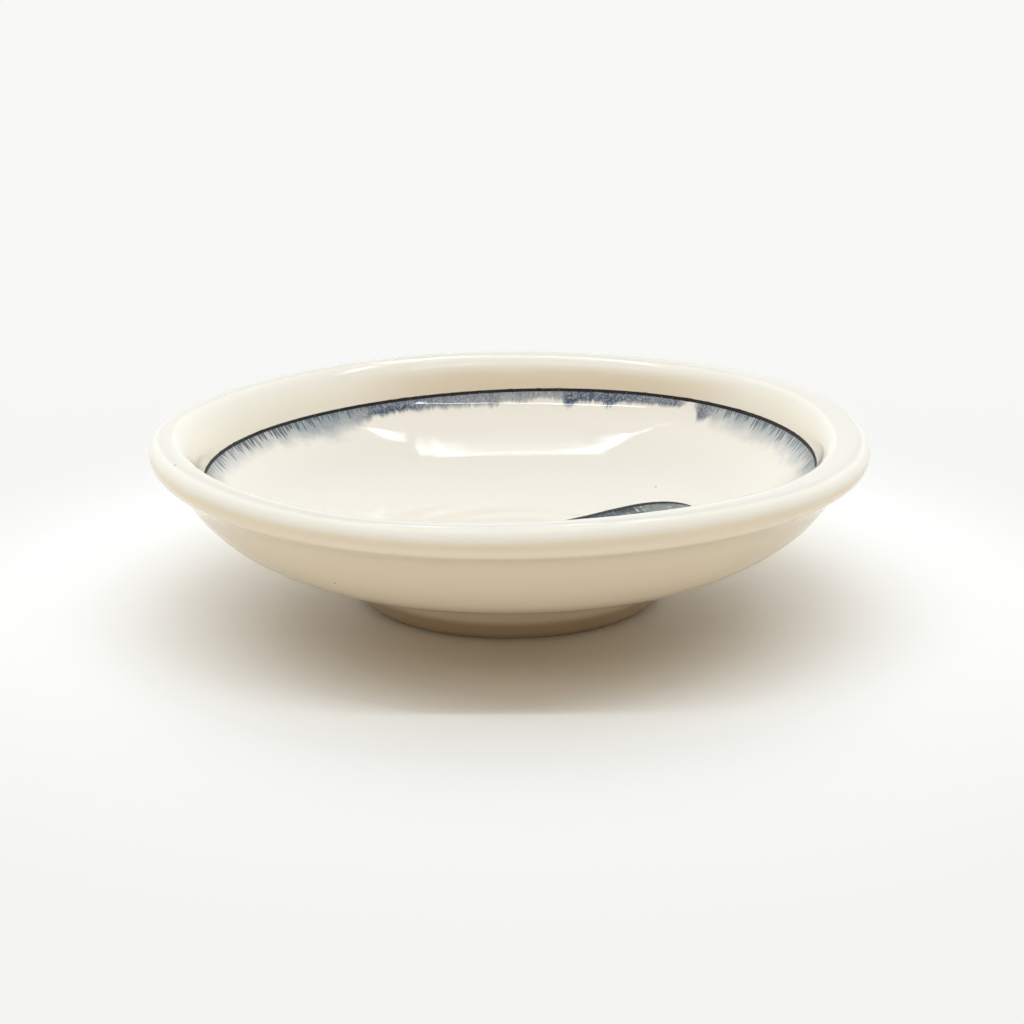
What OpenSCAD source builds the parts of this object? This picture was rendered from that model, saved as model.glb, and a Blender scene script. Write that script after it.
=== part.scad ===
// Soy sauce dish: a small footed dish of glazed stoneware with a rolled rim. A dark line and a run of blue
// circle the top of its well, and a spray of brushed leaves lies on its floor.
// Lengths are millimetres. The standing edge lies on z = 0 and the dish is turned about the Z axis.

/* [Dish] */
// Diameter over the rolled rim
dish_d = 105.5; // [88:0.5:130]
// Height from the table to the crest of the rim
dish_h = 25.7; // [22:0.1:36]
// Thickness of the clay and glaze together, at the middle of the floor
floor_t = 4.9; // [3.4:0.1:7]
// Thickness of the fired glaze
glaze_t = 0.35; // [0.2:0.05:0.5]

/* [Foot ring] */
// Diameter of the foot ring, outside, at its standing edge
foot_d = 43.5; // [34:0.5:54]
// Height of the foot ring, and depth of the hollow inside it before glazing
foot_h = 2.8; // [2:0.1:5]
// Width of the foot ring at its standing edge
foot_w = 3.8; // [2.6:0.1:6]
// How much wider the foot ring's side stands at its top than at its standing edge
foot_flare = 0.8; // [0:0.1:2]
// Rounding of the two corners of the standing edge
foot_round = 0.4; // [0.2:0.05:0.8]
// Height of bare clay between the table and the glaze
foot_bare_h = 0.9; // [0.5:0.1:1.6]

/* [Underside and wall] */
// How far the sweep from the foot to the underside reaches outwards
sweep_w = 2.4; // [1:0.1:5]
// How far the sweep from the foot to the underside rises
sweep_h = 3.4; // [2:0.1:5]
// Slope of the underside where it leaves the sweep, in degrees
under_slope = 9; // [4:1:20]
// Slope of the wall where it meets the ledge below the rim, in degrees
wall_slope = 66; // [50:1:80]

/* [Rolled rim] */
// Height of the roll, from the ledge below it to its crest
rim_h = 4.55; // [3:0.05:7]
// Width of the ledge that the roll overhangs the wall by
ledge_w = 0.5; // [0.3:0.1:2]
// How far the roll stands out past the ledge
roll_w = 2.6; // [1.2:0.1:4]
// Height of the widest point of the roll above the ledge
roll_mid_h = 2.3; // [1:0.1:2.8]
// Distance from the widest point of the roll in to its crest
crest_in = 2.4; // [1.4:0.1:4]

/* [Well] */
// Width of the lip, from the crest in to the dark line
lip_w = 5.3; // [3.5:0.1:8]
// Drop from the crest to the dark line
line_drop = 5.55; // [3.5:0.05:8]
// Slope of the lip just above the dark line, in degrees
lip_slope = 70; // [55:1:85]
// Slope of the well just below the dark line, in degrees
well_slope = 52; // [35:1:60]

/* [Painting] */
// Width of the dark line
line_w = 0.6; // [0.4:0.05:1.2]
// How far the dark line stands proud of the glaze
line_proud = 0.05; // [0.02:0.01:0.12]
// Width of the blue that has run down below the dark line
run_w = 7; // [3:0.5:12]
// Width of the dark stroke round each leaf
stroke_w = 0.7; // [0.3:0.05:1.2]
// Width of the stalk at its middle
stalk_w = 0.7; // [0.4:0.05:1.2]

/* [Hidden] */
$fn = 96;

// Steps along each stretch of the section
sweep_n = 8;
wall_n = 26;
roll_n = 8;
lip_n = 14;
run_n = 8;
well_n = 20;
walk_n = 100;

// Pull of each curve's ends towards its tangents, as shares of the stretch that the curve spans
sweep_pull_share = 0.5;
under_pull_share = 0.31;
wall_pull_share = 0.43;
crest_pull_share = 0.5;
lip_pull_share = 0.69;
well_pull_share = 0.245;
floor_pull_share = 0.535;

// The spray of leaves, as shares of the well's radius: stalk end, tip, and the bulge of each side
leaf_shares = [
    [[0.140, 0.176], [0.622, 0.150], 0.130, 0.030],
    [[0.115, 0.130], [0.555, -0.215], 0.090, 0.060],
    [[0.065, 0.105], [0.110, -0.430], 0.085, 0.070]
];
stalk_shares = [[-0.440, -0.150], [0.130, 0.165], 0.060];
// How far a stroke runs on past a leaf's ends, as a share of the stroke's width
stroke_end_share = 2;

// Places on the section, as [distance from the axis, height]
rim_r = dish_d / 2;
foot_r = foot_d / 2;
foot_side = [foot_flare, foot_h] / norm([foot_flare, foot_h]);
foot_out = [foot_side.y, -foot_side.x];
foot_top = [foot_r + foot_flare, foot_h];
bare_top = [foot_r + foot_flare * foot_bare_h / foot_h, foot_bare_h];
hollow_r = foot_r - foot_w;
hollow_top = [hollow_r - foot_flare, foot_h];
hollow_bare = [hollow_r - foot_flare * foot_bare_h / foot_h, foot_bare_h];
sweep_start = foot_top + glaze_t * foot_out;
sweep_end = sweep_start + [sweep_w, sweep_h];
ledge_z = dish_h - rim_h;
ledge_edge = [rim_r - roll_w, ledge_z];
wall_top = ledge_edge - [ledge_w, 0];
roll_mid_z = ledge_z + roll_mid_h;
crest = [rim_r - crest_in, dish_h];
line_mid = crest - [lip_w, line_drop];
line_r = line_mid.x;
line_high = line_mid + line_w / 2 * heading(lip_slope);
line_low = line_mid - line_w / 2 * heading(well_slope);
floor_z = foot_h + floor_t;

// Unit vector at an angle above the outward horizontal
function heading(angle) = [cos(angle), sin(angle)];
function unit(v) = v / norm(v);
// A quarter turn to the left
function left(v) = [-v.y, v.x];

// A point on a cubic curve, where t runs from 0 to 1
function curve_point(c, t) =
    let (s = 1 - t) s * s * s * c[0] + 3 * s * s * t * c[1] + 3 * s * t * t * c[2] + t * t * t * c[3];
// Points on a cubic curve from t = a to t = b, without the first
function curve(c, n, a = 0, b = 1) = [for (i = [1 : n]) curve_point(c, a + (b - a) * i / n)];
// The value of t at which a cubic curve, walked in n steps, has run a given length
function share_at(c, length, n, i = 0) =
    let (step = norm(curve_point(c, (i + 1) / n) - curve_point(c, i / n)))
    length <= step || i + 1 == n ? (i + min(length / step, 1)) / n : share_at(c, length - step, n, i + 1);
// Points on an upright ellipse from one angle to another, without the first
function bend(mid, half_w, half_h, a, b, n) =
    [for (i = [1 : n]) let (t = a + (b - a) * i / n) mid + [half_w * cos(t), half_h * sin(t)]];

// The path moved sideways by d, to the left of its direction, with mitred corners
function beside(path, d) =
    let (last = len(path) - 1)
    [for (i = [0 : last])
        let (before = left(unit(path[max(i, 1)] - path[max(i, 1) - 1])),
             after = left(unit(path[min(i, last - 1) + 1] - path[min(i, last - 1)])),
             way = unit(before + after))
        path[i] + way * d / (way * before)];
function stretch(path, from, to) = [for (i = [from : to]) path[i]];
function back(path) = [for (i = [len(path) - 1 : -1 : 0]) path[i]];

// The curves of the glazed section
wall_span = norm(wall_top - sweep_end);
sweep_curve = [sweep_start, sweep_start + sweep_pull_share * sweep_h * foot_side,
               sweep_end - sweep_pull_share * sweep_w * heading(under_slope), sweep_end];
wall_curve = [sweep_end, sweep_end + under_pull_share * wall_span * heading(under_slope),
              wall_top - wall_pull_share * wall_span * heading(wall_slope), wall_top];
lip_curve = [crest, crest - [crest_pull_share * lip_w, 0],
             line_high + lip_pull_share * line_drop * heading(lip_slope), line_high];
well_curve = [line_low, line_low - well_pull_share * line_r * heading(well_slope),
              [floor_pull_share * line_r, floor_z], [0, floor_z]];
run_end_share = share_at(well_curve, run_w, walk_n);
// The glazed skin, from the foot up the outside, over the rim, down to the line and on to the floor's middle
outside = concat(
    [bare_top + glaze_t * foot_out, sweep_start],
    curve(sweep_curve, sweep_n),
    curve(wall_curve, wall_n),
    [ledge_edge],
    bend([ledge_edge.x, roll_mid_z], roll_w, roll_mid_h, -90, 0, roll_n),
    bend([crest.x, roll_mid_z], crest_in, rim_h - roll_mid_h, 0, 90, roll_n),
    curve(lip_curve, lip_n)
);
line = [line_mid, line_low];
run = curve(well_curve, run_n, 0, run_end_share);
well = curve(well_curve, well_n, run_end_share, 1);
skin = concat(outside, line, run, well);
// Where each glaze and colour ends along the skin
line_from = len(outside) - 1;
line_to = line_from + len(line);
run_to = line_to + len(run);
skin_end = run_to + len(well);
// The face of the clay below the glaze, ending on the axis
clay = concat(stretch(beside(skin, glaze_t), 0, skin_end - 1), [[0, floor_z - glaze_t]]);

// A ring of glaze between two places along the skin
module glaze_ring(from, to, proud = 0) {
    top = proud > 0 ? beside(skin, -proud) : skin;
    rotate_extrude() polygon(concat(stretch(top, from, to), back(stretch(clay, from, to))));
}

// The disc that bulges by the given height to the left of the line from a to b
module bulging_disc(a, b, bulge) {
    half = norm(b - a) / 2;
    r = (half * half + bulge * bulge) / (2 * bulge);
    translate((a + b) / 2 + left(unit(b - a)) * (bulge - r)) circle(r);
}

// A leaf from its stalk end to its tip, grown by a margin all round
module leaf(shares, margin) {
    grow = unit(shares[1] - shares[0]) * stroke_end_share * margin;
    base = shares[0] * line_r - grow;
    tip = shares[1] * line_r + grow;
    intersection() {
        bulging_disc(base, tip, shares[2] * line_r + margin);
        bulging_disc(tip, base, shares[3] * line_r + margin);
    }
}

// The stalk, a thin crescent that ends at the leaves
module stalk() {
    from = stalk_shares[0] * line_r;
    to = stalk_shares[1] * line_r;
    bulge = stalk_shares[2] * line_r;
    difference() {
        bulging_disc(from, to, bulge + stalk_w / 2);
        bulging_disc(from, to, bulge - stalk_w / 2);
        for (shares = leaf_shares) leaf(shares, stroke_w);
    }
}

// Everything inside the leaves' strokes
module leaves_inside() {
    for (shares = leaf_shares) leaf(shares, 0);
}

// The leaves' strokes and the stalk
module strokes() {
    difference() {
        union() {
            for (shares = leaf_shares) leaf(shares, stroke_w);
            stalk();
        }
        leaves_inside();
    }
}

// The bowl of fired clay: floor, wall, rolled rim and the neck above the foot ring
module clay_bowl() {
    color("wheat")
    rotate_extrude()
    polygon(concat([[0, foot_h]], stretch(clay, 1, skin_end)));
}

// The turned foot ring that the dish stands on, bare at its standing edge
module foot_ring() {
    color("tan")
    rotate_extrude()
    polygon(concat(
        [[hollow_r + foot_round, 0], [foot_r - foot_round, 0]],
        bend([foot_r - foot_round, foot_round], foot_round, foot_round, -90, 0, roll_n),
        [bare_top, foot_top, hollow_top, hollow_bare, [hollow_r, foot_round]],
        bend([hollow_r + foot_round, foot_round], foot_round, foot_round, 180, 270, roll_n)
    ));
}

// Ivory glaze from the foot, up the outside, over the rim and down the lip to the dark line
module outer_glaze() {
    color("ivory") glaze_ring(0, line_from);
}

// The dark line painted where the lip meets the well
module ring_line() {
    color("#262422") glaze_ring(line_from, line_to, line_proud);
}

// The glaze below the line that the running blue has stained
module blue_run() {
    color("lightsteelblue") glaze_ring(line_to, run_to);
}

// Ivory glaze over the rest of the well, open where the leaves are painted
module well_glaze() {
    color("ivory")
    difference() {
        glaze_ring(run_to, skin_end);
        linear_extrude(height = dish_h) {
            strokes();
            leaves_inside();
        }
    }
}

// The slate blue wash inside the leaves
module leaf_wash() {
    color("slategray")
    intersection() {
        glaze_ring(run_to, skin_end);
        linear_extrude(height = dish_h) leaves_inside();
    }
}

// The dark brush strokes round the leaves, and their stalk
module leaf_stroke() {
    color("#2b2e33")
    intersection() {
        glaze_ring(run_to, skin_end);
        linear_extrude(height = dish_h) strokes();
    }
}

// Ivory glaze on the ceiling and the side of the hollow inside the foot ring
module foot_hollow_glaze() {
    hollow = [hollow_bare, hollow_top, [0, foot_h]];
    color("ivory")
    rotate_extrude()
    polygon(concat(hollow, back(beside(hollow, glaze_t))));
}

clay_bowl();
foot_ring();
outer_glaze();
ring_line();
blue_run();
well_glaze();
leaf_wash();
leaf_stroke();
foot_hollow_glaze();
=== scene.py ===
# %% [markdown]
# # A soy sauce dish
# This lesson dresses a small footed stoneware dish: a turned foot, a flared wall, a rolled rim, a painted
# line with a run of blue below it, and a spray of leaves on the floor of the well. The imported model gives
# the frame, in metres, with the standing edge on z = 0 and the axis of the turning on Z. The first step
# loads it and keeps its box.

# %% Load the frame
import math
import bpy
import bmesh
import numpy as np
from mathutils import Matrix, Vector, noise
from mathutils.geometry import interpolate_bezier


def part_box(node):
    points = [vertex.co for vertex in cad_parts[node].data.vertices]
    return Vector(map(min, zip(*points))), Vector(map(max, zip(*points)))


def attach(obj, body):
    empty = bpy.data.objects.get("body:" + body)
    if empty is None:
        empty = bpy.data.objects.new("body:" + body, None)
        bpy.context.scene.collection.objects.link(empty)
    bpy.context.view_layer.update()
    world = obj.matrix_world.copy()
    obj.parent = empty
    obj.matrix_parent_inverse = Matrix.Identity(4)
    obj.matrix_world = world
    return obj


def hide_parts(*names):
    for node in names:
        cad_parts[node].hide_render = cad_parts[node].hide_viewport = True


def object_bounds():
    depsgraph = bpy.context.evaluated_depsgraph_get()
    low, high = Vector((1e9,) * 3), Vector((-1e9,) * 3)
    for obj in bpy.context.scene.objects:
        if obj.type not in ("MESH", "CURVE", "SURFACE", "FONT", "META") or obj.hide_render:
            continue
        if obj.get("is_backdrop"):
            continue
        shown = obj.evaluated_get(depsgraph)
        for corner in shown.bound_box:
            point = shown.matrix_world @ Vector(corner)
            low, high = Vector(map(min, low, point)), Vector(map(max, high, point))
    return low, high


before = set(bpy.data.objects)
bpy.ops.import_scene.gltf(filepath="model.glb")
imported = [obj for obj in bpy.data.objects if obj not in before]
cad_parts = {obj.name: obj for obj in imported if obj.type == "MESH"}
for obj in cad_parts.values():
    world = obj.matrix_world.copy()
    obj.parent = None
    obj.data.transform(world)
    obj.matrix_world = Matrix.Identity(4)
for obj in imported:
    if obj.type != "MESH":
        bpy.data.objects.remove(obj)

cad_low, cad_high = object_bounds()
mm = 0.001
print("box of the packed dish, mm:", [round(side / mm, 2) for side in cad_high - cad_low])

# %% [markdown]
# ## The section
# A thrown dish is a section turned about an axis, so everything starts from one line: the glazed skin,
# walked from the foot up the outside, over the rim, down the lip to the painted line and on to the middle
# of the floor. It could be drawn as a long list of points. A few named sizes and four Bezier curves say
# the same, and stay easy to change.

# %% Sizes that the frame gives
foot_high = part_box("foot_ring")[1]
rim_r = cad_high.x
dish_h = cad_high.z
foot_top_r = foot_high.x
foot_h = foot_high.z
print("rim radius, height, foot radius, foot height, mm:",
      [round(size / mm, 2) for size in (rim_r, dish_h, foot_top_r, foot_h)])

# %% Sizes of the section
glaze_t = 0.35 * mm
floor_t = 4.9 * mm
foot_flare = 0.8 * mm
foot_w = 3.8 * mm
foot_bare_h = 0.9 * mm
sweep_w, sweep_h = 2.4 * mm, 3.4 * mm
rim_h, roll_mid_h = 4.55 * mm, 2.3 * mm
ledge_w, roll_w, crest_in = 0.5 * mm, 2.6 * mm, 2.4 * mm
lip_w, line_drop, line_w = 5.3 * mm, 5.55 * mm, 0.54 * mm
under_slope, wall_slope, lip_slope, well_slope = 9, 66, 70, 52
print("glaze and floor thickness, mm:", round(glaze_t / mm, 2), round(floor_t / mm, 2))


def place(r, z):
    """A place on the section: distance from the axis, and height."""
    return Vector((r, 0, z))


def heading(degrees):
    """The direction at an angle above the outward horizontal."""
    return Vector((math.cos(math.radians(degrees)), 0, math.sin(math.radians(degrees))))


# %% Places on the section
foot_side = Vector((foot_flare, 0, foot_h)).normalized()
foot_out = Vector((foot_side.z, 0, -foot_side.x))
foot_r = foot_top_r - foot_flare
bare_share = foot_bare_h / foot_h
bare_top = place(foot_r + foot_flare * bare_share, foot_bare_h)
sweep_start = place(foot_top_r, foot_h) + glaze_t * foot_out
sweep_end = sweep_start + place(sweep_w, sweep_h)
ledge_z = dish_h - rim_h
ledge_edge = place(rim_r - roll_w, ledge_z)
wall_top = ledge_edge - place(ledge_w, 0)
roll_mid_z = ledge_z + roll_mid_h
crest = place(rim_r - crest_in, dish_h)
line_mid = crest - place(lip_w, line_drop)
line_high = line_mid + line_w / 2 * heading(lip_slope)
line_low = line_mid - line_w / 2 * heading(well_slope)
line_r = line_mid.x
floor_z = foot_h + floor_t
print("dark line at radius and height, mm:", round(line_r / mm, 2), round(line_mid.z / mm, 2))

# %% The four curves
# How far the handles of the curves reach, as shares of the sizes that they belong to
sweep_pull, under_pull, wall_pull = 0.5, 0.31, 0.43
crest_pull, lip_pull, well_pull, floor_pull = 0.5, 0.69, 0.245, 0.535
sweep_places, wall_places, lip_places, well_places = 12, 40, 24, 97
wall_span = (wall_top - sweep_end).length
sweep = interpolate_bezier(sweep_start, sweep_start + sweep_pull * sweep_h * foot_side,
                           sweep_end - sweep_pull * sweep_w * heading(under_slope), sweep_end, sweep_places)
wall = interpolate_bezier(sweep_end, sweep_end + under_pull * wall_span * heading(under_slope),
                          wall_top - wall_pull * wall_span * heading(wall_slope), wall_top, wall_places)
lip = interpolate_bezier(crest, crest - place(crest_pull * lip_w, 0),
                         line_high + lip_pull * line_drop * heading(lip_slope), line_high, lip_places)
well = interpolate_bezier(line_low, line_low - well_pull * line_r * heading(well_slope),
                          place(floor_pull * line_r, floor_z), place(0, floor_z), well_places)
print("places on the sweep, wall, lip and well:", [len(curve) for curve in (sweep, wall, lip, well)])

# %% The roll of the rim and the whole skin
roll_places, crest_places, ledge_places = 10, 14, 12
# The softened ledge takes the place of this many places of the wall and of the roll
soft = 5
ledge_lean, ledge_reach = 0.8, 2.4
# The place on the well where the blue run ends
run_end = 21


def bend(mid, half_w, half_h, start, end, steps):
    """Places on an upright ellipse from one angle to another, in degrees."""
    angles = [math.radians(start + (end - start) * i / steps) for i in range(steps + 1)]
    return [mid + place(half_w * math.cos(a), half_h * math.sin(a)) for a in angles]


roll_under = bend(place(ledge_edge.x, roll_mid_z), roll_w, roll_mid_h, -90, 0, roll_places)
roll_over = bend(place(crest.x, roll_mid_z), crest_in, rim_h - roll_mid_h, 0, 90, crest_places)
ledge_pull = ledge_reach * (roll_under[soft] - roll_under[soft + 1])
ledge = interpolate_bezier(wall[-soft], wall[-soft].lerp(wall_top, ledge_lean), roll_under[soft] + ledge_pull,
                           roll_under[soft], ledge_places)
outside = [bare_top + glaze_t * foot_out] + sweep + wall[1:-soft] + ledge + roll_under[soft + 1:]
outside += roll_over[1:] + lip[1:]
skin = outside + [line_mid] + well
print("places on the skin:", len(skin))
print("the blue run ends at radius, mm:", round(well[run_end].x / mm, 2))

# %% [markdown]
# ## What the potter's hands leave
# No thrown dish is quite even. Here the rim dried a little warped, the painted line and the well lean to
# one side, and the fingers leave faint rings in the wall and the well. A Lattice could bend each finished
# mesh. One function that moves any place of the even dish to its place on the uneven one is simpler, and
# every piece goes through it, so pieces that meet still meet.

# %% The uneven dish
well_lean = 0.0253
rim_warp, rim_waves = 0.23 * mm, -0.155 * mm
warp_low_z = 19 * mm
ring_pitch, ring_depth = 4.6 * mm, 0.009 * mm
# How deep under the well's face its lean starts to fade, and where it ends
lean_fades, lean_ends = 1.2 * mm, 2.6 * mm
inner = sorted(lip + [line_mid] + well, key=lambda spot: spot.x)
inner_r = [spot.x for spot in inner]
inner_z = [spot.z for spot in inner]


def well_height(r):
    """Height of the lip or the well at a distance from the axis."""
    return float(np.interp(r, inner_r, inner_z))


def ease(value, low, high):
    """0 below low, 1 above high, and a smooth rise between them."""
    t = min(max((value - low) / (high - low), 0), 1)
    return t * t * (3 - 2 * t)


def uneven(spot):
    """Where a place on the even dish lies on the hand-made one."""
    r = math.hypot(spot.x, spot.y)
    turn = math.atan2(spot.y, spot.x)
    inside = 1 - ease(well_height(r) - spot.z, lean_fades, lean_ends) if r < crest.x else 0
    sunk = inside * min(r / line_r, 1) ** 2 * (1 - ease(r, line_r, crest.x))
    high = ease(spot.z, warp_low_z, dish_h)
    rings = ring_depth * math.sin(math.tau * r / ring_pitch + turn)
    lift = rings * ease(spot.z, foot_h, sweep_end.z)
    lift += well_lean * spot.x * sunk
    lift += rim_warp * high * (math.sin(2 * turn) + math.sin(4 * turn))
    lift += rim_waves * (sunk + high - sunk * high) * math.cos(3 * turn)
    return spot + Vector((0, 0, lift))


print("the line's left end sinks by, mm:", round(well_lean * line_r / mm, 2))

# %% [markdown]
# ## Turning a section
# Blender's Screw modifier could turn the section, but bmesh's spin is the same tool in a script: a wire
# of a few vertices, spun a full turn with the last step merged into the first. The normals are set right
# after the doubles on the axis are merged, and only then does a skin get its thickness.

# %% Helpers for turned pieces
turn_steps = 240
crease = math.radians(38)
merge_gap, shortest_edge = 0.001 * mm, 0.0005 * mm
print("steps in a full turn:", turn_steps)


def turned(path, steps=turn_steps, closed=False, faces_down=False):
    """A bmesh of a wire of places, spun about Z and moved to where it lies on the uneven dish."""
    bm = bmesh.new()
    verts = [bm.verts.new(spot) for spot in path]
    ends = zip(verts, verts[1:] + verts[:1]) if closed else zip(verts, verts[1:])
    for a, b in ends:
        bm.edges.new((a, b))
    bmesh.ops.spin(bm, geom=bm.verts[:] + bm.edges[:], cent=(0, 0, 0), axis=(0, 0, 1), angle=math.tau,
                   steps=steps, use_merge=True)
    bmesh.ops.remove_doubles(bm, verts=bm.verts, dist=merge_gap)
    bmesh.ops.dissolve_degenerate(bm, edges=bm.edges, dist=shortest_edge)
    bmesh.ops.recalc_face_normals(bm, faces=bm.faces)
    highest = max(bm.faces, key=lambda face: face.calc_center_median().z)
    if not closed and (highest.normal.z < 0) != faces_down:
        bmesh.ops.reverse_faces(bm, faces=bm.faces)
    for vert in bm.verts:
        vert.co = uneven(vert.co)
    bm.normal_update()
    return bm


def finished(name, bm, node):
    """An object from a bmesh, smooth but for its creases, which stands for a node of the frame."""
    for face in bm.faces:
        face.smooth = True
    for edge in bm.edges:
        edge.smooth = not edge.is_manifold or edge.calc_face_angle() < crease
    mesh = bpy.data.meshes.new(name)
    bm.to_mesh(mesh)
    bm.free()
    piece = bpy.data.objects.new(name, mesh)
    bpy.context.scene.collection.objects.link(piece)
    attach(piece, "root")
    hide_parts(node)
    print(name, "has", len(mesh.polygons), "faces")
    return piece


# %% [markdown]
# ## The clay
# The bowl is one lump of clay, and the foot ring was cut from it with a turning tool while it was leather
# hard. Booleans could cut the ring from the bowl, but two closed sections spun about the same axis have
# cleaner faces. The bowl's face lies a glaze's thickness under the skin. The ring is bare where it
# stands, its corners softened by the sponge.

# %% Clay bowl
def beside(path, depth):
    """The path moved sideways by a depth, towards the clay."""
    moved = []
    for i, spot in enumerate(path):
        along = (path[min(i + 1, len(path) - 1)] - path[max(i - 1, 0)]).normalized()
        moved.append(spot + depth * Vector((-along.z, 0, along.x)))
    return moved


clay_path = [place(0, foot_h)] + beside(skin, glaze_t)[1:-1] + [place(0, floor_z - glaze_t)]
clay_bowl = finished("clay_bowl_body", turned(clay_path, closed=True), "clay_bowl")

# %% Foot ring
foot_round, round_places = 0.4 * mm, 6
hollow_r = foot_r - foot_w
ring_path = bend(place(foot_r - foot_round, foot_round), foot_round, foot_round, -90, 0, round_places)
ring_path += [bare_top, place(foot_top_r, foot_h), place(hollow_r - foot_flare, foot_h)]
ring_path += bend(place(hollow_r + foot_round, foot_round), foot_round, foot_round, 180, 270, round_places)
foot_ring = finished("foot_ring_turned", turned(ring_path, closed=True), "foot_ring")

# %% [markdown]
# ## The glaze
# The dish was dipped, so the glaze is a skin of even thickness. A Solidify modifier could give it that.
# Here each stretch is spun as an open sheet and solidified inwards in its bmesh, which leaves nothing
# live on the piece. The glaze on the outside stops short of the standing edge in a soft bead, which the
# dipping leaves slightly wavy.

# %% Outer glaze
outer_steps = 360
edge_wave, edge_waves = 0.12 * mm, 3


def glazed(path, **options):
    """A spun skin with the glaze's thickness under it."""
    bm = turned(path, **options)
    bmesh.ops.solidify(bm, geom=bm.faces[:], thickness=glaze_t)
    return bm


bm = glazed(outside, steps=outer_steps)
for vert in bm.verts:
    turn = math.atan2(vert.co.y, vert.co.x)
    low = 1 - ease(vert.co.z, foot_bare_h, foot_h)
    vert.co.z += low * edge_wave * noise.noise((edge_waves * math.cos(turn), edge_waves * math.sin(turn), 0))
outer_glaze = finished("outer_glaze_skin", bm, "outer_glaze")

# %% Well glaze, blue run and the glaze in the hollow of the foot
well_glaze = finished("well_glaze_skin", glazed(well[run_end:]), "well_glaze")
blue_run = finished("blue_run_skin", glazed(well[:run_end + 1]), "blue_run")

hollow_top_r = hollow_r - foot_flare
hollow_bare = place(hollow_r - foot_flare * bare_share, foot_bare_h)
hollow_path = [hollow_bare, place(hollow_top_r, foot_h), place(0, foot_h)]
hollow_skin = [spot - place(glaze_t if spot.x else 0, 0) - place(0, glaze_t) for spot in hollow_path]
hollow_glaze = finished("foot_hollow_glaze_skin", glazed(hollow_skin, faces_down=True), "foot_hollow_glaze")

# %% [markdown]
# ## The dark line
# The line is a stroke of dark pigment, brushed on while the dish turned on the wheel. It could be a
# colour on the glaze, but it stands a hair proud, and a piece of its own catches the light there. It is
# spun as a low strap that comes out of the glaze along both of its edges, and a little noise in its
# height makes those edges waver, as a loaded brush does.

# %% Dark line
line_proud, line_waver = 0.05 * mm, 0.03 * mm
line_steps = 720
# Places across the strap, in half widths of the line; those past 1 lie under the glaze
strap_shares = (1.4, 1.1, 0.8, 0.4, 0, -0.4, -0.8, -1.1, -1.4)
line_out = (heading(lip_slope + 90) + heading(well_slope + 90)).normalized()
strap = []
for share in strap_shares:
    along = heading(lip_slope if share > 0 else well_slope)
    strap.append(line_mid + share * line_w / 2 * along + line_proud * (1 - share ** 2) * line_out)
bm = turned(strap, steps=line_steps)
for vert in bm.verts:
    turn = math.atan2(vert.co.y, vert.co.x)
    round_trip = Vector((math.cos(turn), math.sin(turn), 0)) * line_r / mm
    vert.co += line_waver * noise.noise(round_trip + Vector((0, 0, vert.co.z / mm))) * vert.normal
bmesh.ops.solidify(bm, geom=bm.faces[:], thickness=glaze_t)
ring_line = finished("ring_line_paint", bm, "ring_line")

# %% [markdown]
# ## The painted leaves
# The leaves were brushed on the floor of the well: a slate wash inside dark strokes, on one thin stalk.
# Filled curves would lie flat, so a leaf is a small grid whose long sides are pushed out to two arcs.
# Every vertex is then dropped onto the well, so the paint follows its curve, and the grid's own UV map
# tells the finish which way the leaf grows.

# %% Places of the leaves
# Each leaf, in shares of the line's radius: stalk end, tip, and how far its left and right sides bulge
leaf_shares = [
    ((0.094, 0.179), (0.617, 0.170), 0.108, 0.030),
    ((0.115, 0.130), (0.555, -0.215), 0.090, 0.060),
    ((0.065, 0.105), (0.110, -0.430), 0.085, 0.070),
]
# The stalk: its two ends and its bulge
stalk_share = ((-0.440, -0.150), (0.130, 0.165), 0.060)
paint_t = 0.2 * mm
leaf_skew = 1.77
print("leaves:", len(leaf_shares))


# %% Helpers for brushed paint
def arc_height(share, span, bulge):
    """Height of an arc over its chord, at a share of the chord's length, fuller towards its far end."""
    radius = (span * span / 4 + bulge * bulge) / (2 * bulge)
    return math.sqrt(max(radius ** 2 - ((share ** leaf_skew - 0.5) * span) ** 2, 0)) - (radius - bulge)


def on_well(flat, proud):
    """A place in plan, dropped onto the well and raised by a little."""
    return uneven(Vector((flat.x, flat.y, well_height(flat.length) + proud)))


def brushed(bm, base, tip, sides, proud, columns=56, rows=10):
    """A grid from base to tip; sides gives its two edges at a share of the way, as distances to the left."""
    made = bmesh.ops.create_grid(bm, x_segments=columns, y_segments=rows, size=0.5, calc_uvs=True)
    along = tip - base
    left = Vector((-along.y, along.x)).normalized()
    for vert in made["verts"]:
        share = vert.co.x + 0.5
        low, high = sides(share)
        flat = base + share * along + left * (low + (high - low) * (vert.co.y + 0.5))
        vert.co = on_well(flat, proud)


def paint_sheet():
    """An empty bmesh with a UV map for the brush's direction."""
    bm = bmesh.new()
    bm.loops.layers.uv.new("brush")
    return bm


def dried(bm):
    """Merges the pointed ends of the strokes, faces them up and gives the paint its thickness."""
    bmesh.ops.remove_doubles(bm, verts=bm.verts, dist=merge_gap)
    bmesh.ops.dissolve_degenerate(bm, edges=bm.edges, dist=shortest_edge)
    bmesh.ops.recalc_face_normals(bm, faces=bm.faces)
    down = [face for face in bm.faces if face.normal.z < 0]
    bmesh.ops.reverse_faces(bm, faces=down)
    bmesh.ops.solidify(bm, geom=bm.faces[:], thickness=paint_t)
    return bm


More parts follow.
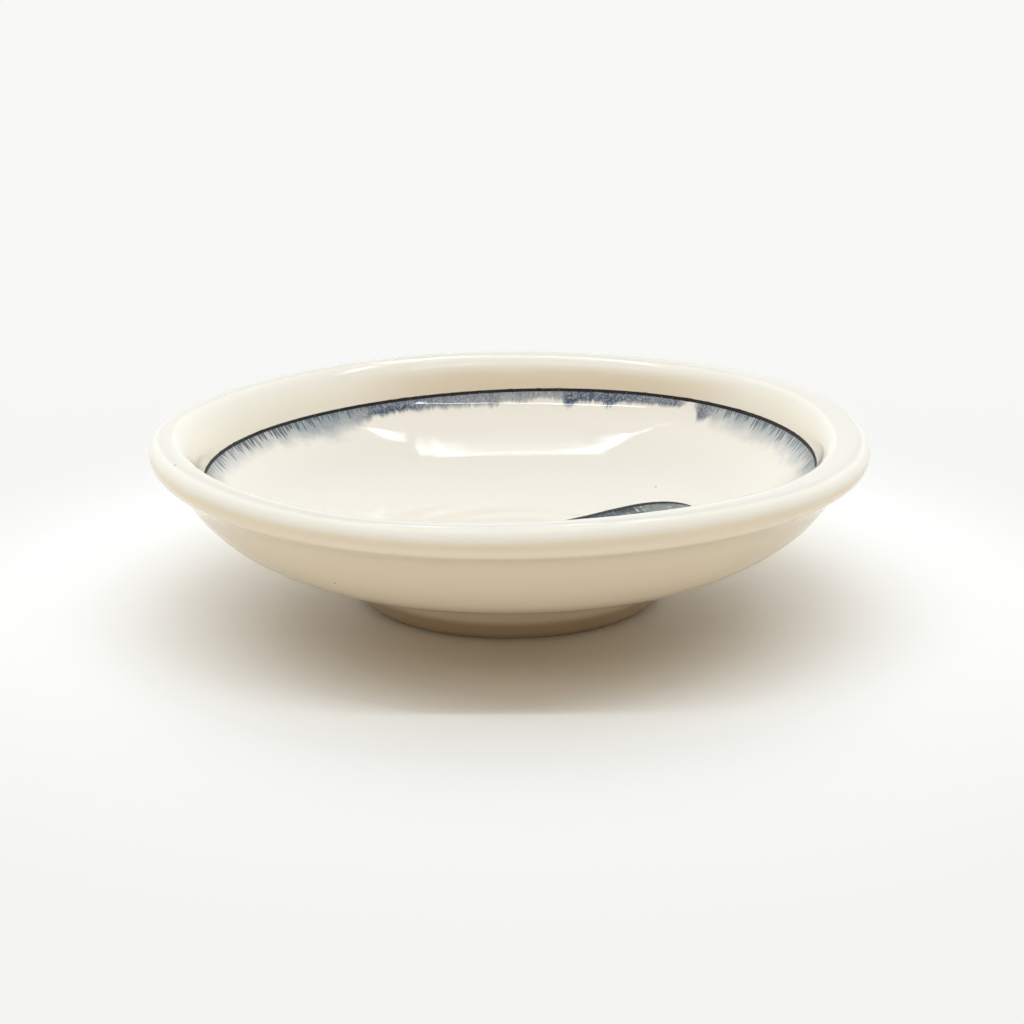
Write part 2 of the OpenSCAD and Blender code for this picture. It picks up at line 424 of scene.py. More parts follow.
# %% Leaf wash
wash_proud, stroke_proud = 0.02 * mm, 0.045 * mm
stroke_w, stalk_w = 0.95 * mm, 0.7 * mm
bm = paint_sheet()
leaves = []
for base, tip, left_share, right_share in leaf_shares:
    leaves.append((Vector(base) * line_r, Vector(tip) * line_r, left_share * line_r, right_share * line_r))
for base, tip, left_bulge, right_bulge in leaves:
    span = (tip - base).length
    brushed(bm, base, tip, lambda share: (-arc_height(share, span, right_bulge),
                                          arc_height(share, span, left_bulge)), wash_proud)
leaf_wash = finished("leaf_wash_paint", dried(bm), "leaf_wash")

# %% Leaf strokes and stalk
stroke_thinnest, stalk_thinnest, stroke_swell = 0.3, 0.15, 0.6


def stroke(bm, base, tip, bulge, width, thinnest):
    """A brush stroke along an arc, thin where the brush lands and lifts."""
    span = (tip - base).length

    def edges(share):
        middle = math.copysign(arc_height(share, span, abs(bulge)), bulge)
        half = width / 2 * (thinnest + (1 - thinnest) * math.sin(math.pi * share) ** stroke_swell)
        return middle - half, middle + half

    brushed(bm, base, tip, edges, stroke_proud, columns=80, rows=4)


bm = paint_sheet()
for base, tip, left_bulge, right_bulge in leaves:
    stroke(bm, base, tip, left_bulge, stroke_w, stroke_thinnest)
    stroke(bm, base, tip, -right_bulge, stroke_w, stroke_thinnest)
*stalk_ends, stalk_bulge = stalk_share
stalk_ends = [Vector(end) * line_r for end in stalk_ends]
stroke(bm, *stalk_ends, stalk_bulge * line_r, stalk_w, stalk_thinnest)
leaf_stroke = finished("leaf_stroke_paint", dried(bm), "leaf_stroke")

# %% [markdown]
# ## Finishes as expressions
# A material is a tree of nodes. Writing every Math node by hand hides the idea, so one small class wraps
# a socket and adds the nodes as plain arithmetic is written. Every other node comes from one method,
# which takes the node's type, its settings and its sockets.

# %% The class that wraps a socket
class Wire:
    """An output socket; arithmetic on it adds Math nodes to its tree."""

    def __init__(self, tree, node, output=0):
        self.tree, self.node, self.socket = tree, node, node.outputs[output]

    def out(self, output):
        """Another output of the same node."""
        return Wire(self.tree, self.node, output)

    def math(self, operation, *values):
        """A Math node on the values."""
        return self.tree.add("ShaderNodeMath", {"operation": operation}, dict(enumerate(values)))

    def __add__(self, other):
        return self.math("ADD", self, other)

    def __sub__(self, other):
        return self.math("SUBTRACT", self, other)

    def __rsub__(self, other):
        return self.math("SUBTRACT", other, self)

    def __mul__(self, other):
        return self.math("MULTIPLY", self, other)

    def __truediv__(self, other):
        return self.math("DIVIDE", self, other)

    __radd__ = __add__
    __rmul__ = __mul__


# %% The class that wraps a node tree
class Tree:
    """The node tree of a material, light or world."""

    def __init__(self, owner):
        owner.use_nodes = True
        self.nodes, self.links = owner.node_tree.nodes, owner.node_tree.links
        self.nodes.clear()

    def add(self, kind, settings=None, sockets=None):
        """Adds a node, sets it up, fills or links its sockets and returns its first output."""
        node = self.nodes.new(kind)
        for name, value in (settings or {}).items():
            if name == "stops":
                self.set_stops(node.color_ramp, value)
            else:
                setattr(node, name, value)
        for name, value in (sockets or {}).items():
            if isinstance(value, Wire):
                self.links.new(value.socket, node.inputs[name])
            else:
                node.inputs[name].default_value = value
        return Wire(self, node) if node.outputs else node

    def set_stops(self, ramp, stops):
        """Fills a colour ramp from its stops."""
        while len(ramp.elements) < len(stops):
            ramp.elements.new(1)
        for element, (position, colour) in zip(ramp.elements, stops):
            element.position = position
            element.color = (*colour, 1)

    def between(self, value, low, high):
        """0 at low, 1 at high, smooth between."""
        return self.add("ShaderNodeMapRange", {"interpolation_type": "SMOOTHSTEP"},
                        {"Value": value, "From Min": low, "From Max": high})

    def mix(self, share, a, b):
        """Colour a turning into colour b."""
        a, b = (side if isinstance(side, Wire) else (*side, 1) for side in (a, b))
        mixed = self.add("ShaderNodeMix", {"data_type": "RGBA"}, {0: share, 6: a, 7: b})
        return mixed.out(2)

    def grain(self, vector, scale, detail=2.0, roughness=0.5):
        """Noise from 0 to 1 at a scale per metre."""
        return self.add("ShaderNodeTexNoise", {},
                        {"Vector": vector, "Scale": scale, "Detail": detail, "Roughness": roughness})

    def bump(self, height, distance, strength=1.0):
        """A normal that follows a height."""
        return self.add("ShaderNodeBump", {}, {"Height": height, "Distance": distance, "Strength": strength})


# %% Starting and ending a finish
def new_finish(name):
    """A material with its tree and the place on the object."""
    material = bpy.data.materials.new(name)
    tree = Tree(material)
    spot = tree.add("ShaderNodeTexCoord").out("Object")
    return material, tree, spot


def coat(tree, piece, material, sockets):
    """Ends the tree in a Principled shader and gives the material to the piece."""
    shader = tree.add("ShaderNodeBsdfPrincipled", {}, sockets)
    tree.add("ShaderNodeOutputMaterial", {}, {"Surface": shader})
    piece.data.materials.append(material)
    print(material.name, "has", len(tree.nodes), "nodes")


# %% [markdown]
# ## Ivory glaze
# The glaze is a milky ivory. Where it pooled it fired pale; on the lip and the wall it ran thin and the warm
# clay shows through. Light and shade are painted into its colour too: painted shade on the crest, on the far
# side of the lip and low on the foot, a painted highlight along the top of the roll, and painted light on the
# steep wall of the well, on the sides of the lip and on the roll's tan. A painted image could hold that, but
# the slope of the surface and the place on the dish give it at any size. The glaze has small iron specks, a
# glassy gloss and the faint orange peel of a fired glaze.

# %% Colours of the ivory glaze
# The steep colour is paler than the pooled one: painted light on the steep wall of the well.
pooled_ivory, cloud_ivory, steep_well_painted_light = (0.826, 0.772, 0.69), (0.806, 0.752, 0.67), (0.88, 0.826, 0.742)
# The crest's colour is darker than the pooled glaze: painted shade on the top of the rim.
# The roll's pale colour is partly the glaze's own and partly a painted highlight along its top.
# The roll's tan is lighter than the wall's tan under it: painted light.
crest_painted_shade, roll_pale_and_highlight, roll_tan_painted_lighter = (0.75, 0.715, 0.645), (0.94, 0.90, 0.81), (0.93, 0.81, 0.62)
# The lip is tan, painted paler at the sides as painted light and darker on the far side as painted shade.
lip_far_tan_and_shade, lip_side_painted_light, lip_crest = (0.76, 0.65, 0.49), (0.92, 0.86, 0.74), (0.86, 0.82, 0.73)
# The foot's brown is painted shade low on the outside of the foot, under the dish.
wall_tan, foot_painted_shade = (0.83, 0.705, 0.52), (0.51, 0.385, 0.25)
speck_brown = (0.16, 0.12, 0.09)
glaze_ior = 1.5
cloud_scale = 70
# How far the surface faces up where one colour starts to turn into the next, and where it has
pooled_to_painted_light = (0.93, 0.76)
lip_to_crest, crest_shade_on_lip = (0.42, 0.70), (0.90, 0.98)
tan_to_roll_highlight, crest_shade_on_roll = (0, 0.50), (0.84, 0.97)
# How far round the dish the lip turns from painted light at the sides to tan with painted shade on the far
# side, and the direction that this is measured along
far_lip_shade_turns, far_across, far_away = (0.66, 0.98), 0.17, 0.985
# Where the wall's tan turns into the roll's, painted lighter as painted light, the roll into the lip, and the
# wall into the foot's painted shade
ledge_turns = (ledge_z - 0.4 * mm, ledge_z + 0.8 * mm)
crest_turns, upturned = (crest.x + 0.1 * mm, crest.x - 0.1 * mm), (0, 0.1)
under_turns, foot_shade_turns = (sweep_end.x + 1 * mm, sweep_start.x), (1.2 * foot_h, 0.7 * foot_h)
tilt_waver = 0.12
print("the glaze bends light by", glaze_ior)


# %% Colour of the glaze by place
def upward(tree):
    """How far the surface faces up, from -1 to 1."""
    tilt = tree.add("ShaderNodeTexCoord").out("Normal")
    return tree.add("ShaderNodeSeparateXYZ", {}, {0: tilt}).out("Z")


def pooled_glaze_and_painted_light(tree, spot):
    """Colour of the glaze that pooled in the well, cloudy and pale; its steeper wall is painted paler as
    painted light.
    """
    colour = tree.mix(tree.grain(spot, cloud_scale, 3), pooled_ivory, cloud_ivory)
    # Painted light: the steeper wall of the well is coloured paler.
    return tree.mix(tree.between(upward(tree), *pooled_to_painted_light), colour, steep_well_painted_light)


def thin_glaze_and_painted_light(tree, spot):
    """Colour of the glaze on the lip, the crest, the roll, the wall and the foot: thin on the lip and the
    wall, with painted light and shade.
    """
    up = upward(tree)
    tilted = up + (tree.grain(spot, cloud_scale, 3) - 0.5) * tilt_waver
    axes = tree.add("ShaderNodeSeparateXYZ", {}, {0: spot})
    across, away, height = axes, axes.out("Y"), axes.out("Z")
    radius = axes.math("SQRT", across * across + away * away)
    far = (far_away * away + far_across * across) / radius
    # Painted light and shade round the dish: the lip is paler at the sides and darker on the far side.
    on_lip = tree.mix(tree.between(far, *far_lip_shade_turns), lip_side_painted_light, lip_far_tan_and_shade)
    on_lip = tree.mix(tree.between(tilted, *lip_to_crest), on_lip, lip_crest)
    # Painted shade: the crest of the rim is coloured darker.
    on_lip = tree.mix(tree.between(tilted, *crest_shade_on_lip), on_lip, crest_painted_shade)
    # Painted light: the roll's tan is coloured lighter than the wall's.
    tan = tree.mix(tree.between(height, *ledge_turns), wall_tan, roll_tan_painted_lighter)
    # The roll turns pale towards its top, partly a painted highlight.
    on_roll = tree.mix(tree.between(tilted, *tan_to_roll_highlight), tan, roll_pale_and_highlight)
    # Painted shade: the crest of the rim is coloured darker on the roll's side too.
    on_roll = tree.mix(tree.between(tilted, *crest_shade_on_roll), on_roll, crest_painted_shade)
    inside = tree.between(radius, *crest_turns) * tree.between(up, *upturned)
    colour = tree.mix(inside, on_roll, on_lip)
    under = tree.between(radius, *under_turns)
    # Painted shade: the glaze low on the foot is coloured dark brown.
    return tree.mix(under * tree.between(height, *foot_shade_turns), colour, foot_painted_shade)


# %% Ivory glaze on the outside, the well and the hollow
speck_cells, rare, speck_depth = 130, 0.90, 0.7
speck_size, speck_least, speck_edge = 0.03, 0.005, 0.004
peel_scale, swell_scale, gloss_scale = 420, 95, 260
peel_share, peel_height, peel_strength = 0.15, 0.02 * mm, 0.3
gloss_least, gloss_range = 0.015, 0.03


def speckled(tree, spot, colour):
    """The glaze with its specks: its colour, roughness and normal."""
    cells = tree.add("ShaderNodeTexVoronoi", {"voronoi_dimensions": "2D"},
                     {"Vector": spot, "Scale": speck_cells})
    chosen = tree.add("ShaderNodeSeparateColor", {}, {0: cells.out("Color")})
    size = tree.between(chosen, rare, 1) * speck_size - speck_least
    speck = tree.between(cells.out("Distance") - size, speck_edge, -speck_edge)
    colour = tree.mix(speck * speck_depth, colour, speck_brown)
    peel = tree.grain(spot, peel_scale, 2)
    swell = tree.grain(spot, swell_scale, 1)
    normal = tree.bump(peel * peel_share + swell, peel_height, peel_strength)
    roughness = gloss_least + gloss_range * tree.grain(spot, gloss_scale, 3)
    return colour, roughness, normal


def ivory_finish(name, piece, glaze):
    """Ivory glaze on a piece, coloured by one of the two functions for it."""
    material, tree, spot = new_finish(name)
    colour, roughness, normal = speckled(tree, spot, glaze(tree, spot))
    coat(tree, piece, material, {"Base Color": colour, "Roughness": roughness, "Normal": normal,
                                 "IOR": glaze_ior})


ivory_finish("ivory glaze", outer_glaze, thin_glaze_and_painted_light)
ivory_finish("well glaze", well_glaze, pooled_glaze_and_painted_light)
ivory_finish("hollow glaze", hollow_glaze, pooled_glaze_and_painted_light)

# %% [markdown]
# ## The run of blue
# Cobalt in the line bled into the molten glaze and ran down the well. It left three marks: a pale haze,
# fine lashes with tapering ends, and heavy patches that are darkest along their lower edge, where the
# pigment gathered. The pattern needs two directions, round the dish and down from the line. A noise
# squeezed round the dish gives the lashes. How far each mark reaches and how strong it is change round
# the dish, and two colour ramps hold those.

# %% Places of the run
run_end_r = well[run_end].x
patch_blue, lash_grey, haze_blue = (0.015, 0.050, 0.110), (0.070, 0.095, 0.105), (0.37, 0.405, 0.43)
# How many marks each noise has round the dish
cloud_marks, lash_marks, strand_marks, mottle_marks = 14, 40, 150, 110
# Each stop: azimuth in degrees, how far the patch ran, how strong it is, how dark its lower edge is
patch_stops = [
    (40, 0.30, 0.00, 0.0), (41.5, 0.24, 0.25, 0.2), (43.5, 0.34, 0.75, 0.6), (45.0, 0.36, 0.90, 0.6),
    (46.0, 0.22, 0.80, 0.3), (47.2, 0.12, 0.55, 0.0), (47.7, 0.10, 0.00, 0.0), (50.3, 0.10, 0.00, 0.0),
    (50.8, 0.17, 0.90, 0.3), (58, 0.20, 0.80, 0.2), (65.8, 0.21, 0.90, 0.2), (66.5, 0.33, 1.00, 0.5),
    (68.6, 0.33, 1.00, 0.5), (69.2, 0.23, 0.90, 0.3), (74.6, 0.25, 0.95, 0.3), (75.6, 0.33, 1.00, 0.5),
    (77.6, 0.35, 1.00, 0.5), (78.4, 0.22, 0.60, 0.0), (83, 0.17, 0.55, 0.0), (87.2, 0.24, 0.60, 0.2),
    (88.0, 0.28, 0.80, 0.4), (88.9, 0.24, 0.55, 0.0), (92.2, 0.24, 0.55, 0.0), (93.4, 0.38, 0.85, 0.4),
    (95.0, 0.30, 0.62, 0.2), (109.5, 0.27, 0.75, 0.4), (113, 0.25, 1.00, 0.9), (121, 0.26, 0.95, 0.8),
    (123, 0.34, 0.55, 0.6), (127, 0.37, 0.30, 0.3), (136, 0.36, 0.18, 0.2), (146, 0.33, 0.00, 0.0),
]
# Each stop: azimuth in degrees, how far the lashes ran, how strong they are, how strong the haze is
lash_stops = [
    (0, 0.30, 0.65, 0.62), (8, 0.32, 0.70, 0.66), (20, 0.34, 0.75, 0.62), (30, 0.33, 0.80, 0.60),
    (37, 0.26, 0.80, 0.70), (40.5, 0.20, 0.60, 0.52), (43.5, 0.15, 0.30, 0.28), (47, 0.10, 0.10, 0.03),
    (51, 0.10, 0.10, 0.03), (60, 0.12, 0.20, 0.12), (78, 0.12, 0.30, 0.20), (92, 0.12, 0.30, 0.20),
    (95, 0.15, 0.30, 0.30), (109, 0.15, 0.30, 0.30), (121, 0.15, 0.40, 0.25), (126, 0.25, 0.60, 0.75),
    (133, 0.30, 0.75, 1.00), (143, 0.34, 0.90, 0.66), (151, 0.33, 0.95, 0.48), (157, 0.36, 1.00, 0.48),
    (168, 0.30, 0.85, 0.48), (180, 0.28, 0.75, 0.52), (215, 0.30, 0.70, 0.55), (265, 0.25, 0.60, 0.50),
    (310, 0.30, 0.70, 0.55), (360, 0.30, 0.65, 0.62),
]
print(len(patch_stops), "stops for the patches,", len(lash_stops), "for the lashes")


# %% Shapes of the marks
# How far the haze reaches, where it is full, and how its clouds stretch and deepen it
haze_least, haze_reach, haze_full = 0.2, 0.65, 0.03
stretch_least, stretch_range = 0.6, 0.8
mist_least, mist_range = 0.75, 0.6
# How long the lashes are, how their strands thin out towards the tips, and how soft and strong they are
lash_least, lash_turns = 0.09, (0.35, 0.70)
strand_least, strand_taper = 0.38, 0.22
strand_edge, strand_ends, strand_depth = (-0.03, 0.07), (1.05, 0.6), 0.95
# How ragged and soft the lower edge of a patch is, and how its pigment thins, gathers and clots
fringe_least, fringe_broad, fringe_fine = 0.42, 0.60, 0.56
patch_edge, gather_turns = (1.25, 0.70), (0.3, 0.9)
ink_full, ink_drained, ink_gathered, mottle_depth = 0.96, 0.30, 0.4, 1.5
print("marks round the dish:", cloud_marks, lash_marks, strand_marks, mottle_marks)


# %% Run of blue
def blue_finish(name, piece):
    """The well's glaze with the haze, the lashes and the patches laid over it in turn."""
    material, tree, spot = new_finish(name)
    colour, roughness, normal = speckled(tree, spot, pooled_glaze_and_painted_light(tree, spot))
    axes = tree.add("ShaderNodeSeparateXYZ", {}, {0: spot})
    across, away = axes, axes.out("Y")
    radius = axes.math("SQRT", across * across + away * away)
    down = (line_r - radius) / (line_r - run_end_r)
    turn = axes.math("ARCTAN2", away, across) / math.tau
    turn = turn.math("FRACT", turn + 1)

    def round_dish(stops):
        """The three values of the stops, by the place round the dish."""
        shares = [(degrees / 360, rest) for degrees, *rest in stops]
        ramp = tree.add("ShaderNodeValToRGB", {"stops": shares}, {0: turn})
        return [tree.add("ShaderNodeSeparateColor", {}, {0: ramp}).out(i) for i in range(3)]

    def streaks(per_turn, along, detail, layer):
        """Noise with so many marks round the dish and down the run, from a layer of its own."""
        drawn = tree.add("ShaderNodeCombineXYZ", {}, {
            "X": across / radius * per_turn, "Y": away / radius * per_turn, "Z": down * along + layer})
        return tree.grain(drawn, 1, detail, 0.6)

    patch_reach, ink, gathered = round_dish(patch_stops)
    lash_reach, lash, haze = round_dish(lash_stops)
    cloud = streaks(cloud_marks, along=3, detail=2, layer=20)
    stretched = down / (stretch_least + stretch_range * cloud)
    mist = tree.between(stretched, haze_least + haze_reach * haze, haze_full)
    colour = tree.mix(mist * haze * (2 - haze) * (mist_least + mist_range * cloud), colour, haze_blue)

    long = tree.between(streaks(lash_marks, along=0, detail=2, layer=40), *lash_turns)
    tip = lash_least + lash_reach * long
    thin = strand_least + strand_taper * down / tip
    strand = streaks(strand_marks, along=1.5, detail=1, layer=60)
    strand = tree.between(strand - thin, *strand_edge) * tree.between(down / tip, *strand_ends)
    colour = tree.mix(strand * lash * strand_depth, colour, lash_grey)

    broad = fringe_broad * streaks(lash_marks, along=1, detail=2, layer=80)
    fine = fringe_fine * streaks(strand_marks, along=2, detail=2, layer=100)
    edge = down / (patch_reach * (fringe_least + broad + fine))
    body = tree.between(edge, *patch_edge)
    mottle = streaks(mottle_marks, along=22, detail=2, layer=120)
    depth = ink_full - ink_drained * gathered + ink_gathered * gathered * tree.between(edge, *gather_turns)
    depth = depth + (mottle - 0.5) * mottle_depth
    depth = depth.math("MAXIMUM", depth.math("MINIMUM", depth, 1), 0)
    colour = tree.mix(body * ink * depth, colour, patch_blue)
    coat(tree, piece, material, {"Base Color": colour, "Roughness": roughness, "Normal": normal,
                                 "IOR": glaze_ior})


blue_finish("blue run", blue_run)

# %% [markdown]
# ## Dark line, leaf wash and leaf stroke
# The line is a brown black that fired a little rough, with tiny pale dots painted on as its glints. The
# wash is thin slate blue: darker where the brush landed, paler and streaked with dry bristle marks towards
# the tip. The strokes are the line's pigment under gloss. Noise on Object coordinates would run across the
# leaves at any angle, so the leaf's UV map gives the direction of the brush.

# %% Finish of the dark line
# The pale colour on the line is painted glints.
line_black, line_brown, line_glint_pale = (0.008, 0.008, 0.010), (0.028, 0.024, 0.022), (0.45, 0.42, 0.38)
grit_scale, blot_scale, glint_scale = 2600, 500, 4200
glint_turns, glint_depth = (0.69, 0.74), 0.6
line_gloss, line_rough, line_rough_range = 0.15, 0.28, 0.25
line_grit_h, line_grit_strength = 0.03 * mm, 0.6


def line_finish(name, piece):
    """Pigment with blots and grit, and tiny pale dots painted on as glints."""
    material, tree, spot = new_finish(name)
    grit = tree.grain(spot, grit_scale, 2)
    blot = tree.grain(spot, blot_scale, 2)
    # Painted glints: tiny pale dots on the line.
    glint = tree.between(tree.grain(spot, glint_scale, 1), *glint_turns)
    colour = tree.mix(blot, line_black, line_brown)
    colour = tree.mix(glint * glint_depth, colour, line_glint_pale)
    roughness = line_rough + line_rough_range * grit
    normal = tree.bump(grit, line_grit_h, line_grit_strength)
    coat(tree, piece, material, {"Base Color": colour, "Roughness": roughness, "IOR": glaze_ior,
                                 "Specular IOR Level": line_gloss, "Normal": normal})


line_finish("dark line", ring_line)

# %% Helpers for brush marks
paint_gloss, paint_rough_range = 0.15, 0.15
paint_ridge_h, paint_ridge_strength = 0.01 * mm, 0.4


def brush_map(tree):
    """Share of the way along the brush stroke, and share of the way across it."""
    uv = tree.add("ShaderNodeUVMap", {"uv_map": "brush"})
    axes = tree.add("ShaderNodeSeparateXYZ", {}, {0: uv})
    return axes, axes.out("Y")


def bristles(tree, along, across, lengthwise, crosswise):
    """Noise with so many marks along a stroke and across it."""
    marks = tree.add("ShaderNodeCombineXYZ", {}, {"X": along * lengthwise, "Y": across * crosswise})
    return tree.grain(marks, 1, 3, 0.6)


# %% Finish of the leaf wash
wash_dark, wash_blue, wash_pale = (0.022, 0.032, 0.042), (0.10, 0.17, 0.22), (0.19, 0.21, 0.19)
hatch_pale, streak_pale = (0.42, 0.46, 0.44), (0.66, 0.70, 0.68)
# Marks along and across a leaf: of the bristles, of the pools, and of the breaks in the dry streaks
hatch_marks, pool_marks, break_marks = (80, 4), (7, 3), (24, 16)
# Where each noise or place starts to show, where it shows in full, and how strongly
pool_turns, pool_depth = (0.42, 0.66), 0.8
tip_turns, tip_waver = (0.56, 0.74), 0.4
hatch_turns, hatch_least, hatch_range = (0.48, 0.66), 0.25, 0.45
side_dark_turns, side_dark_depth = (0.70, 1.0), 0.6
break_turns, streak_starts, streak_stops, streak_depth = (0.42, 0.58), (0.45, 0.65), (0.98, 0.85), 0.8
hatch_slant, streak_slant, wash_rough = 0.12, 0.07, 0.15
# Each dry streak: how far along the leaf it lies, and half its width; and how soft its sides are
dry_streaks = ((0.70, 0.006), (0.74, 0.005))
streak_outer, streak_inner = 1.6, 0.6


def wash_finish(name, piece):
    """Thin paint that pools, pales towards the tip and breaks into dry streaks."""
    material, tree = new_finish(name)[:2]
    along, across = brush_map(tree)
    hatch = bristles(tree, along + across * hatch_slant, across, *hatch_marks)
    pool = bristles(tree, along, across, *pool_marks)
    pale = tree.between(along + (pool - 0.5) * tip_waver, *tip_turns)
    colour = tree.mix(tree.between(pool, *pool_turns) * pool_depth, wash_dark, wash_blue)
    colour = tree.mix(pale, colour, wash_pale)
    scratched = tree.between(hatch, *hatch_turns) * (hatch_least + hatch_range * pale)
    colour = tree.mix(scratched, colour, hatch_pale)
    colour = tree.mix(tree.between(across, *side_dark_turns) * side_dark_depth, colour, wash_dark)
    broken = tree.between(bristles(tree, along, across, *break_marks), *break_turns)
    slant = along + across * streak_slant
    inside = tree.between(across, *streak_stops) * tree.between(across, *streak_starts)
    for middle, half in dry_streaks:
        off = slant.math("ABSOLUTE", slant - middle)
        streak = tree.between(off, half * streak_outer, half * streak_inner)
        colour = tree.mix(streak * broken * inside * streak_depth, colour, streak_pale)
    roughness = wash_rough + paint_rough_range * hatch
    normal = tree.bump(hatch, paint_ridge_h, paint_ridge_strength)
    coat(tree, piece, material, {"Base Color": colour, "Roughness": roughness, "IOR": glaze_ior,
                                 "Specular IOR Level": paint_gloss, "Normal": normal})


wash_finish("slate wash", leaf_wash)

# %% Finish of the leaf strokes
stroke_black, stroke_dry = (0.007, 0.007, 0.008), (0.12, 0.13, 0.13)
dry_marks, dry_turns, dry_depth, stroke_rough = (45, 6), (0.52, 0.70), 0.15, 0.2


def stroke_finish(name, piece):
    """Thick dark paint with faint dry marks."""
    material, tree = new_finish(name)[:2]
    along, across = brush_map(tree)
    dry = bristles(tree, along, across, *dry_marks)
    colour = tree.mix(tree.between(dry, *dry_turns) * dry_depth, stroke_black, stroke_dry)
    roughness = stroke_rough + paint_rough_range * dry
    normal = tree.bump(dry, paint_ridge_h, paint_ridge_strength)
    coat(tree, piece, material, {"Base Color": colour, "Roughness": roughness, "IOR": glaze_ior,
                                 "Specular IOR Level": paint_gloss, "Normal": normal})


stroke_finish("dark stroke", leaf_stroke)

# %% [markdown]
# ## Bare clay
# The standing edge was wiped clean of glaze, so that the dish wouldn't stick to the kiln shelf. The fired
# clay there is matt and tan, with fine grit and the faint grooves of the turning tool. The clay under the
# glaze is the same body, so one function makes both, from two pairs of colours. The foot's pair is darker,
# partly painted shade where the foot meets the floor.

# %% Finish of the bare clay
# The foot's colours are darker than the body's: partly the bare clay, partly painted shade where it meets the
# floor.
foot_shaded_pale, foot_shaded_dark = (0.52, 0.41, 0.28), (0.40, 0.30, 0.20)
body_pale, body_dark, grit_brown = (0.66, 0.56, 0.42), (0.56, 0.46, 0.33), (0.20, 0.14, 0.09)
body_scale, clay_grit_scale, groove_scale = 300, 2200, 2600
clay_grit_turns, clay_grit_depth = (0.66, 0.74), 0.5
clay_rough, clay_rough_range = 0.72, 0.2
groove_h, groove_strength = 0.04 * mm, 0.6


def clay_finish(name, piece, pale, dark):
    """Fired clay between two colours, with grit and the grooves of the tool."""
    material, tree, spot = new_finish(name)
    axes = tree.add("ShaderNodeSeparateXYZ", {}, {0: spot})
    body = tree.grain(spot, body_scale, 4, 0.6)
    grit = tree.grain(spot, clay_grit_scale, 2, 0.7)
    groove = tree.grain(tree.add("ShaderNodeCombineXYZ", {}, {"Z": axes.out("Z")}), groove_scale, 2)
    colour = tree.mix(body, dark, pale)
    colour = tree.mix(tree.between(grit, *clay_grit_turns) * clay_grit_depth, colour, grit_brown)
    roughness = clay_rough + clay_rough_range * grit
    normal = tree.bump(grit + groove, groove_h, groove_strength)
    coat(tree, piece, material, {"Base Color": colour, "Roughness": roughness, "Normal": normal})


clay_finish("bare foot", foot_ring, foot_shaded_pale, foot_shaded_dark)
clay_finish("fired clay", clay_bowl, body_pale, body_dark)

# %% [markdown]
# ## Floor, light and camera
# The dish stands on a plain pale table in a light tent: a white box with strips and soft glows under its
# ceiling, and an open front. A picture of a studio could light it, but lamps placed one by one put each
# bright line in the glaze where it belongs. Two front lights, which the glaze doesn't mirror, give the
# soft shadow. The tent itself is the world, bright above and behind, dim low in front, and plain white
# where the camera or a reflection meets it.

# %% Floor
paper_white, near_white = (0.94, 0.94, 0.925), (0.905, 0.905, 0.89)
floor_white, floor_grey = (0.86, 0.855, 0.84), (0.80, 0.79, 0.77)
floor_size, floor_grain, floor_grain_depth, floor_rough = 3.0, 900, 0.15, 0.55
# Where the floor's shading fades into the plain background, and where its near tone turns into the far one;
# the darker near tone is painted shade on the plain background
shade_ends, tone_turns = (0.050, 0.115), (-0.08, 0.20)


def seen_directly(tree):
    """1 for rays that come straight from the camera, a reflection or a clear surface."""
    path = tree.add("ShaderNodeLightPath")
    seen = path.out("Is Camera Ray") + path.out("Is Glossy Ray") + path.out("Is Transmission Ray")
    return seen.math("MINIMUM", seen, 1)


bm = bmesh.new()
bmesh.ops.create_grid(bm, x_segments=1, y_segments=1, size=floor_size)
mesh = bpy.data.meshes.new("floor")
bm.to_mesh(mesh)
bm.free()
floor = bpy.data.objects.new("floor", mesh)
bpy.context.scene.collection.objects.link(floor)
floor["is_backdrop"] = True

material, tree, spot = new_finish("pale floor")
distance = tree.add("ShaderNodeVectorMath", {"operation": "LENGTH"}, {0: spot}).out("Value")
grain = tree.grain(spot, floor_grain, 2)
shaded = tree.add("ShaderNodeBsdfPrincipled", {}, {
    "Base Color": tree.mix(grain * floor_grain_depth, floor_white, floor_grey), "Roughness": floor_rough})
back = tree.between(tree.add("ShaderNodeSeparateXYZ", {}, {0: spot}).out("Y"), *tone_turns)
plain = tree.add("ShaderNodeEmission", {}, {"Color": tree.mix(back, near_white, paper_white)})
fade = tree.between(distance, *shade_ends) * seen_directly(tree)
lit = tree.add("ShaderNodeMixShader", {}, {0: fade, 1: shaded, 2: plain})
below = tree.add("ShaderNodeNewGeometry").out("Backfacing")
clear = tree.add("ShaderNodeBsdfTransparent")
surface = tree.add("ShaderNodeMixShader", {}, {0: below, 1: lit, 2: clear})
tree.add("ShaderNodeOutputMaterial", {}, {"Surface": surface})
mesh.materials.append(material)
print("floor, m:", 2 * floor_size)

# %% Lamps
ceiling_z, hang = 0.49, 0.0003
lamp_white = (0.926, 1.0, 1.058)
strip_w = 0.006
